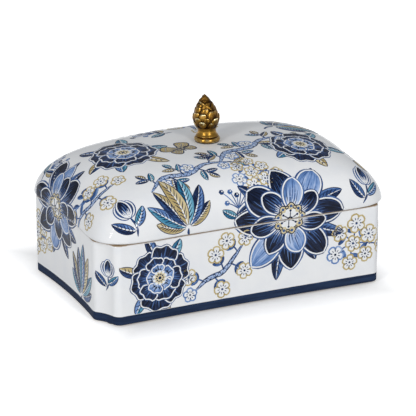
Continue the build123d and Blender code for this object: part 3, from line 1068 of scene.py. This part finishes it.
bud = {
    "footRadius": 11.3, "footHeight": 3.9, "grooveRadius": 9.9, "grooveWidth": 0.6, "grooveDepth": 0.6,
    "bellRadius": 9.7, "bellPower": 2.6, "bellFlare": 0.5, "bellLip": 0.25,
    "neckRadius": 7.8, "neckHeight": 10.0, "coneRadius": 10.4, "coneHeight": 20.5, "tipRadius": 0.6,
    "taperPower": 1.5, "around": 288, "coneSteps": 230, "widest": 12.1, "tipRound": 1.6,
    "hole": 2.6, "holeDepth": 11.0, "holeEdge": 0.4, "beadInset": 1.6, "beadBulge": 0.8,
    "lean": -0.06, "leanFrom": 6.0,          # the cast bud stands a little askew
    # height of each row's roots, scales in it, length and width of a scale, how far it sweeps sideways
    "rows": ((13.0, 8, 6.6, 7.4, 0.3), (15.4, 8, 7.4, 8.0, 0.9), (18.8, 8, 7.6, 8.2, 1.6),
             (22.4, 7, 7.6, 8.0, 2.4), (26.0, 6, 8.0, 7.6, 3.4), (29.8, 5, 8.4, 6.8, 4.6)),
    # long blades near the tip: height, turn from the photographed side in degrees, length, width, sweep
    "blades": ((28.6, 40, 8.8, 4.4, -10.5), (32.4, 150, 8.0, 5.0, 3.0), (32.0, -90, 8.4, 5.0, 3.0)),
    # scales near the tip stand out less
    "bladeRise": 1.15, "tipFade": 10.0, "tipFadePower": 0.7, "tipTaper": 22.0,
    "scaleRise": 1.9, "unevenness": 0.24, "rootJitter": 0.6, "turnJitter": 0.1,
    "ribDepth": 0.2, "ribWidth": 0.16, "roughCast": 0.04, "beadSteps": 17, "neckSteps": 24,
    # how light the plain parts are, partly rubbed wear and partly painted highlight; then each brass tone and
    # the wear and painted light over which it comes in, the palest a painted highlight
    "footShine": 0.8, "grooveShine": 0.2, "neckShine": 0.66, "coreShine": 0.62, "tipShine": 0.5,
    "scaleShine": 0.9, "paintedEdgeHighlight": 2.2, "deep": "#281808",
    "tones": (("#5f4019", 0.05, 0.45), ("#a57d35", 0.25, 0.75), ("#f8ecbc", 0.7, 1.2)),
    "cast": (900.0, 4.0), "blotch": (320.0, 3.0), "blotchWear": 0.6, "castDepth": 0.14,
    "rough": 0.46, "polish": 0.24, "castRough": 0.12,
}
budTop = (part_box("finial")[1].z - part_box("finial")[0].z) / mm


def budCore(height):
    b = bud
    share = np.clip((height - b["neckHeight"]) / (b["coneHeight"] - b["neckHeight"]), 0, 1)
    low = b["neckRadius"] + (b["coneRadius"] - b["neckRadius"]) * np.sin(share * math.pi / 2)
    share = np.clip((height - b["coneHeight"]) / (budTop - b["coneHeight"]), 0, 1)
    high = b["tipRadius"] + (b["coneRadius"] - b["tipRadius"]) * (1 - share ** b["taperPower"])
    return np.where(height < b["coneHeight"], low, high)


def scaleRelief(turn, height):
    # how far the scales stand out of the core
    random = np.random.default_rng(7)
    uneven = bud["unevenness"]
    places = []
    for row, (root, count, length, width, sweep) in enumerate(bud["rows"]):
        stand = min(1, (budTop - root) / bud["tipTaper"])
        for step in range(count):
            swell, stretch, rise = random.uniform(1 - uneven, 1 + uneven, 3)
            up = random.uniform(-bud["rootJitter"], bud["rootJitter"])
            aside = random.uniform(-bud["turnJitter"], bud["turnJitter"])
            places.append((root + up, 2 * math.pi * (step + row % 2 / 2 + aside) / count,
                           length * stretch, width * (0.5 + 0.5 * swell), sweep * swell, rise * stand))
    facing = photoCamera["azimuth"] - 90
    places += [(root, math.radians(facing + away), length, width, sweep, bud["bladeRise"])
               for root, away, length, width, sweep in bud["blades"]]
    relief, radius = np.zeros(turn.shape), budCore(height)
    for root, middle, length, width, sweep, rise in places:
        up = (height - root) / length
        inside = np.clip(up, 0.001, 0.999)
        across = (np.angle(np.exp(1j * (turn - middle))) * radius - sweep * inside ** 1.4) / (width / 2)
        across = across / np.maximum((inside / 0.5) ** 0.5 * ((1 - inside) / 0.5) ** 0.5, 0.02)
        dome = (0.3 + 0.7 * inside) * np.sqrt(np.clip(1 - across ** 2, 0, 1))
        dome = dome * np.clip((1 - inside) * 9, 0, 1) ** 0.5
        rib = bud["ribDepth"] * np.exp(-(across / bud["ribWidth"]) ** 2) * inside
        relief = np.maximum(relief, np.where((up > 0) & (up < 1) & (abs(across) < 1),
                                             bud["scaleRise"] * rise * dome - rib, 0))
    return relief * np.clip((budTop - height) / bud["tipFade"], 0, 1) ** bud["tipFadePower"]


def budProfile(neck):
    # from the screw's hole round the foot and up from the bottom of the neck
    b, bead, lip = bud, bud["footHeight"] / 2, bud["bellLip"]
    groove, swell = b["grooveRadius"] - b["grooveDepth"], b["bellRadius"] - b["neckRadius"]
    profile = [(b["hole"], b["holeDepth"]), (b["hole"], b["holeEdge"]), (b["hole"] + b["holeEdge"], 0.0),
               (b["footRadius"] - b["beadInset"], 0.0)]
    profile += [(b["footRadius"] - bead * b["beadBulge"] * (1 - math.cos(turn)), bead + bead * math.sin(turn))
                for turn in np.linspace(-math.pi / 2, math.pi / 2, b["beadSteps"])]
    profile += [(groove, b["footHeight"] + 0.05), (groove, neck - 0.1), (b["bellRadius"] - lip, neck),
                (b["bellRadius"], neck + lip)]
    for share in np.linspace(0.08, 1, b["neckSteps"]):
        radius = b["neckRadius"] + swell * (1 - share) ** b["bellPower"] + b["bellFlare"] * (1 - share)
        profile.append((radius, neck + lip + (b["neckHeight"] - neck - 0.6) * share))
    return profile


def makeFinial():
    b, bottom = bud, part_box("finial")[0].z / mm
    turns = 2 * math.pi * np.arange(b["around"]) / b["around"]
    neck = b["footHeight"] + b["grooveWidth"]
    profile = budProfile(neck)
    plainTurn, plainHeight = np.meshgrid(turns, [level for _, level in profile])
    turn, height = np.meshgrid(turns, np.linspace(profile[-1][1], budTop, b["coneSteps"] + 1)[1:])
    relief = scaleRelief(turn, height)
    wander = np.sin(5 * turn + height * 0.9) * np.sin(3 * turn - height * 1.3)
    rounding = np.sqrt(np.clip((budTop - height) / b["tipRound"], 0, 1))
    radius = np.minimum(budCore(height) + relief + b["roughCast"] * wander, b["widest"]) * rounding
    # painted light and patina of each place: lighter on the foot, the neck and the tops of the scales, partly
    # rubbed wear and partly painted highlight, with a painted highlight along the scales' edges; dark between
    # them, partly patina in the hollows and partly painted shade
    plain = [b["footShine"] if r > b["bellRadius"] else
             b["grooveShine"] if r > b["grooveRadius"] - 0.7 and z < neck else b["neckShine"]
             for r, z in profile]
    depth = np.clip(relief / b["scaleRise"], 0, 1)
    beside = sum(np.roll(depth, step, axis) for step, axis in ((4, 1), (-4, 1), (5, 0), (-5, 0))) / 4
    bare = b["coreShine"] * np.clip((b["rows"][0][0] + 0.4 - height) / 1.6, 0, 1)
    tip = b["tipShine"] * np.clip((height - budTop + 7.0) / 3.0, 0, 1)
    shade = np.maximum(depth * b["scaleShine"] + (depth - beside) * b["paintedEdgeHighlight"], np.maximum(bare, tip))
    shade = np.clip(shade, 0, 1.3)
    proud = np.concatenate([np.repeat(plain, b["around"]), shade.ravel(), [0.0, 0.6]])
    radius = np.vstack([np.repeat([[r] for r, _ in profile], b["around"], 1), radius])
    turn, height = np.vstack([plainTurn, turn]), np.vstack([plainHeight, height])
    # it leans to the left of the photograph's view
    view, lean = math.radians(photoCamera["azimuth"]), b["lean"] * np.clip(height - b["leanFrom"], 0, None)
    points = np.stack([radius * np.cos(turn) + lean * math.cos(view),
                       radius * np.sin(turn) + lean * math.sin(view), bottom + height], -1).reshape(-1, 3)
    ends = [[0, 0, bottom + b["holeDepth"] + 0.5], points[-b["around"]:].mean(0)]
    piece = makeMesh("finial_casting", np.vstack([points, *ends]), cappedFaces(*height.shape), makeBrass(),
                     "lid")
    values = piece.data.attributes.new("proud", "FLOAT", "POINT").data
    values.foreach_set("value", proud.astype(np.float32))
    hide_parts("finial")


def makeBrass():
    b, f = bud, Finish("antique_brass")
    place, metal = f.place(), b["deep"]
    cast, blotch = f.noise(place, *b["cast"]), f.noise(place, *b["blotch"])
    wearAndPaintedLight = f.node("Attribute", {"attribute_name": "proud"}, output="Fac") + (blotch - 0.5) * b["blotchWear"]
    # dark brass in the hollows is partly patina and partly painted shade; the paler tones on proud places are
    # partly rubbed wear and partly painted highlight
    for tone, low, high in b["tones"]:
        metal = f.mix(wearAndPaintedLight.step(low, high), metal, tone)
    rough = b["rough"] - wearAndPaintedLight.step(0.2, 1.0) * b["polish"] + (cast - 0.5) * b["castRough"]
    return f.finish(Base_Color=metal, Metallic=1.0, Roughness=rough,
                    Normal=f.bump(cast + blotch * 0.6, b["castDepth"] * mm, 0.5))


# Felt pads and the small parts inside the lid

felt = {
    "across": 10.0, "thick": 1.2, "crush": 0.12, "ragged": 0.1, "around": 60,
    # shares of the radius and of the thickness, from the bottom up
    "profile": ((0.55, 0.0), (0.9, 0.0), (0.98, 0.12), (1.0, 0.5), (0.98, 0.88), (0.9, 1.0)),
    "colour": "#3b3d42", "fibre": "#5a5d63", "fibres": (1500.0, 6.0),
}


def makePads():
    f = felt
    radius, random = f["across"] / 2, np.random.default_rng(3)
    low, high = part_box("felt_pads")
    points, faces = [], []
    turns = 2 * math.pi * np.arange(f["around"]) / f["around"]
    for x in (low.x / mm + radius, high.x / mm - radius):
        for y in (low.y / mm + radius, high.y / mm - radius):
            start = len(points)
            fuzz = 1 - f["ragged"] * random.random(f["around"]) / radius
            for share, level in f["profile"]:
                dent = f["crush"] * np.sin(3 * turns + x) ** 2 * (0 < level < 1)
                reach = radius * share * fuzz - dent
                points += np.column_stack([x + reach * np.cos(turns), y + reach * np.sin(turns),
                                           np.full(f["around"], level * f["thick"])]).tolist()
            points += [[x, y, 0.0], [x, y, f["thick"]]]
            faces += [tuple(start + corner for corner in face)
                      for face in cappedFaces(len(f["profile"]), f["around"])]
    g = Finish("pressed_felt")
    fibres = g.noise(g.scaled(g.place(), (1, 1, 3)), *f["fibres"])
    wool = g.finish(Base_Color=g.mix(fibres, f["colour"], f["fibre"]), Roughness=0.95, Sheen_Weight=0.4,
                    Normal=g.bump(fibres, 0.2 * mm, 0.8))
    piece = makeMesh("felt_pad_set", points, faces, wool, "base")
    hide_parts("felt_pads")


rubber = {"dark": "#15161a", "light": "#2a2c30", "grain": (1400.0, 3.0), "grainDepth": 0.05,
          "rough": 0.55, "roughSpread": 0.2}
steel = {
    "light": "#c9ccd0", "dark": "#9da1a6", "spots": (500.0, 4.0), "rough": 0.24, "roughSpread": 0.2,
    "turning": {"Scale": 900.0, "Distortion": 1.5, "Detail": 2.0}, "turningDepth": 0.02,
}


def makeRubber():
    r, f = rubber, Finish("seal_rubber")
    grain = f.noise(f.place(), *r["grain"])
    return f.finish(Base_Color=f.mix(grain, r["dark"], r["light"]),
                    Roughness=r["rough"] + grain * r["roughSpread"],
                    Normal=f.bump(grain, r["grainDepth"] * mm, 0.5))


def makeSteel():
    s, f = steel, Finish("plated_steel")
    turned = f.node("TexWave", {"wave_type": "RINGS", "rings_direction": "Z"},
                    {"Vector": f.place(), **s["turning"]}, "Fac")
    spots = f.noise(f.place(), *s["spots"])
    return f.finish(Base_Color=f.mix(spots.step(0.3, 0.8), s["light"], s["dark"]), Metallic=1.0,
                    Roughness=s["rough"] + spots * s["roughSpread"],
                    Normal=f.bump(turned, s["turningDepth"] * mm, 0.3))


makeFinial()
makePads()
seal, plate = makeRubber(), makeSteel()
for node, finish in {"finial_seal": seal, "inner_gasket": seal, "steel_washer": plate,
                     "fixing_screw": plate}.items():
    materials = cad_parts[node].data.materials
    materials.clear()
    materials.append(finish)
print("finial, pads and small parts made")


# Floor, backdrop, camera and lights

def placeAndAim(thing, azimuth, elevation, distance, target):
    # azimuth 0 looks along +Y
    azimuth, elevation = math.radians(azimuth), math.radians(elevation)
    back = Vector((math.sin(azimuth) * math.cos(elevation), -math.cos(azimuth) * math.cos(elevation),
                   math.sin(elevation)))
    thing.location = Vector(target) + back * distance
    thing.rotation_mode = "QUATERNION"
    thing.rotation_quaternion = (-back).to_track_quat("-Z", "Y")
    bpy.context.scene.collection.objects.link(thing)


def makeCamera():
    c = photoCamera
    data = bpy.data.cameras.new("photo_camera")
    data.sensor_width = c["sensor"]
    data.lens = c["focalPixels"] / c["imagePixels"] * c["sensor"]
    camera = bpy.data.objects.new("photo_camera", data)
    placeAndAim(camera, c["azimuth"], c["elevation"], c["distance"], c["target"])
    bpy.context.scene.camera = camera


studio = {
    "floorHalf": 6.0, "floor": "#d2d2d2", "shadowShare": 0.95,
    # glow of the floor in the painted shadow beside the box and further off, how far it takes to change, and
    # the half sizes of the block round the middle that this is measured from, in metres
    "paintedShadowGlow": 0.16, "glowFar": 0.62, "paintedShadowSpan": 0.06, "paintedShadowHalf": (0.100, 0.087),
    "world": "#f6f8fb", "worldLight": 0.45,
    # two tall lamps, one each side of the camera: azimuth, elevation, distance, width, height, watts
    "lamps": {"left_lamp": (-60, 21, 6.0, 0.75, 3.0, 118), "right_lamp": (6, 21, 6.0, 0.75, 3.0, 122)},
    "lampAim": (0, 0, 0.06),
}


def makeStudio():
    f = Finish("studio_floor")
    # the camera and reflections see the glowing floor, the light on the box comes from the plain one
    rays = [f.node("LightPath", output=name) for name in ("Is Camera Ray", "Is Glossy Ray")]
    seen = f.math("MAXIMUM", *rays)
    real = f.node("BsdfDiffuse", None, {"Color": colour(studio["floor"])})
    shadowed = f.node("BsdfDiffuse", None, {"Color": [studio["shadowShare"]] * 3 + [1]})
    near, far = [[studio[name]] * 3 + [1] for name in ("paintedShadowGlow", "glowFar")]
    # painted shadow: the floor glows less close round the box, a soft shadow painted round its foot
    away = f.outside(*studio["paintedShadowHalf"]).step(0, studio["paintedShadowSpan"])
    glow = f.node("Emission", None, {"Color": f.mix(away, near, far)})
    shown = f.node("AddShader", None, {0: shadowed, 1: glow})
    surface = f.node("MixShader", None, {0: seen, 1: real, 2: shown})
    f.node("OutputMaterial", None, {"Surface": surface})
    half = studio["floorHalf"]
    mesh = bpy.data.meshes.new("studio_floor")
    corners = [(x * half, y * half, 0) for x, y in ((-1, -1), (1, -1), (1, 1), (-1, 1))]
    mesh.from_pydata(corners, [], [(0, 1, 2, 3)])
    mesh.materials.append(f.material)
    floor = bpy.data.objects.new("studio_floor", mesh)
    bpy.context.scene.collection.objects.link(floor)
    world = bpy.data.worlds.new("studio_light")
    world.use_nodes = True
    background = world.node_tree.nodes["Background"]
    background.inputs["Color"].default_value = colour(studio["world"])
    background.inputs["Strength"].default_value = studio["worldLight"]
    bpy.context.scene.world = world
    for name, (azimuth, elevation, distance, across, tall, power) in studio["lamps"].items():
        data = bpy.data.lights.new(name, "AREA")
        data.shape, data.size, data.size_y, data.energy = "RECTANGLE", across, tall, power
        lamp = bpy.data.objects.new(name, data)
        placeAndAim(lamp, azimuth, elevation, distance, studio["lampAim"])


makeCamera()
makeStudio()
bpy.context.scene.view_settings.view_transform = "Standard"
print("studio ready")
